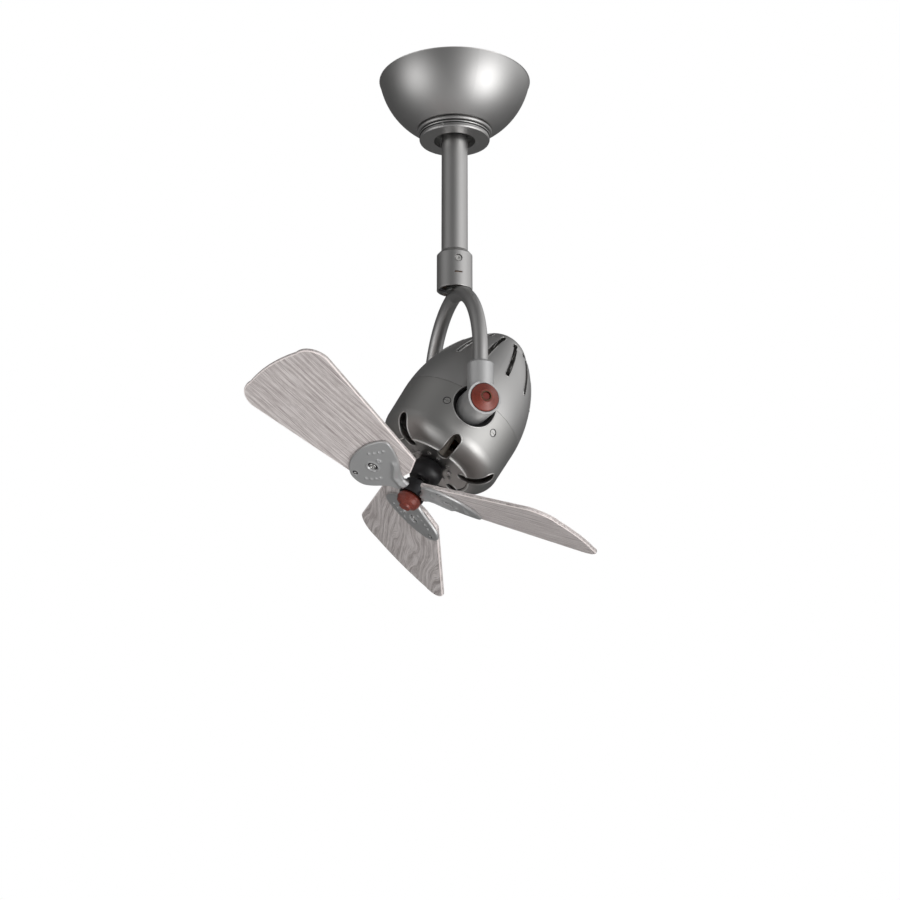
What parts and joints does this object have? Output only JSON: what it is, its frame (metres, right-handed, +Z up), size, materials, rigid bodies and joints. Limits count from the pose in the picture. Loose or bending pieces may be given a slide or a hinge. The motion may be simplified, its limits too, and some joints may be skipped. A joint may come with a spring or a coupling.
{
  "type": "oscillating ceiling fan",
  "caption": "Ceiling fan with a bowl canopy and short downrod; a forked yoke carries a tilting bullet-shaped motor head with pitched wooden blades.",
  "frame": {"origin": "centre of the canopy on the ceiling plane", "axes": "+Z up, along the downrod into the ceiling; +X along the tilt axis, between the fork's ends; the head leans to -Y at rest"},
  "size_m": [0.3475, 0.3123, 0.5025],
  "materials": {
    "satin_nickel": "brushed nickel, satin",
    "cast_nickel": "cast metal with a satin nickel plating",
    "face_nickel": "brushed nickel with a darker flat face",
    "zinc_steel": "zinc-plated sheet",
    "spring_steel": "oiled spring steel",
    "screw_steel": "turned steel",
    "bearing_steel": "ground and polished",
    "laminated_steel": "stacked sheets, varnished",
    "cast_aluminium": "as cast",
    "copper_winding": "enamelled copper wire",
    "bronze": "oiled sintered bronze",
    "ball_rubber": "hard black rubber",
    "boot_black": "smooth black",
    "well_black": "matt black",
    "friction_lining": "pressed fibre",
    "face_screw": "blackened",
    "red_bolt": "red lacquer on the head",
    "mahogany": "turned, clear satin lacquer",
    "barnwood": "weathered grey grain, matt"
  },
  "bodies": {
    "ceiling_mount": {"hanger_bracket": "zinc_steel", "canopy": "satin_nickel", "canopy_screws": "screw_steel", "canopy_ring": "satin_nickel", "ring_pin": "screw_steel"},
    "hanging_rod": {"hanger_ball": "ball_rubber", "ball_pin": "screw_steel", "downrod": "satin_nickel", "collar": "satin_nickel", "collar_screw": "screw_steel", "sweep_motor": "zinc_steel", "spindle_bushing": "bronze", "retaining_ring": "spring_steel"},
    "yoke": {"motor_coupling": "screw_steel", "yoke_spindle": "zinc_steel", "arm_right": "satin_nickel", "arm_left": "satin_nickel", "elbow_right": "cast_nickel", "elbow_left": "cast_nickel"},
    "right_knob": {"knob_right": "mahogany", "knob_ferrule_right": "bronze", "knob_bolt_right": "red_bolt"},
    "left_knob": {"knob_left": "mahogany", "knob_ferrule_left": "bronze", "knob_bolt_left": "red_bolt"},
    "head": {"rear_housing": "satin_nickel", "front_housing": "face_nickel", "shaft_boot": "boot_black", "housing_screws": "screw_steel", "face_screws": "face_screw", "well_cup_right": "well_black", "well_cup_left": "well_black", "friction_disc_right": "friction_lining", "friction_disc_left": "friction_lining", "motor_frame": "cast_aluminium", "stator_core": "laminated_steel", "stator_coils": "copper_winding", "rear_bearing": "bearing_steel", "front_bearing": "bearing_steel"},
    "rotor": {"shaft": "screw_steel", "rotor_core": "laminated_steel", "blade_hub": "cast_nickel", "blade_iron_1": "cast_nickel", "blade_iron_2": "cast_nickel", "blade_iron_3": "cast_nickel", "blade_1": "barnwood", "blade_2": "barnwood", "blade_3": "barnwood", "blade_screws": "screw_steel", "hub_screws": "screw_steel", "finial": "mahogany"}
  },
  "joints": [
    {"name": "ball_swing", "type": "hinge", "parent": "ceiling_mount", "child": "hanging_rod", "pos_m": [0, 0, -0.034], "axis": [1, 0, 0], "range_deg": [-8, 8]},
    {"name": "sweep", "type": "hinge", "parent": "hanging_rod", "child": "yoke", "pos_m": [0, 0, -0.215], "axis": [0, 0, 1], "range_deg": [-45, 45]},
    {"name": "head_tilt", "type": "hinge", "parent": "yoke", "child": "head", "pos_m": [0, 0, -0.361], "axis": [1, 0, 0], "range_deg": [-59, 121]},
    {"name": "right_knob_turn", "type": "hinge", "parent": "yoke", "child": "right_knob", "pos_m": [0.085, 0, -0.361], "axis": [1, 0, 0], "range_deg": [0, 340]},
    {"name": "left_knob_turn", "type": "hinge", "parent": "yoke", "child": "left_knob", "pos_m": [-0.085, 0, -0.361], "axis": [-1, 0, 0], "range_deg": [0, 340]},
    {"name": "blade_spin", "type": "hinge", "parent": "head", "child": "rotor", "pos_m": [0, -0.04026, -0.43189], "axis": [0, -0.515, -0.8572], "continuous": true}
  ]
}
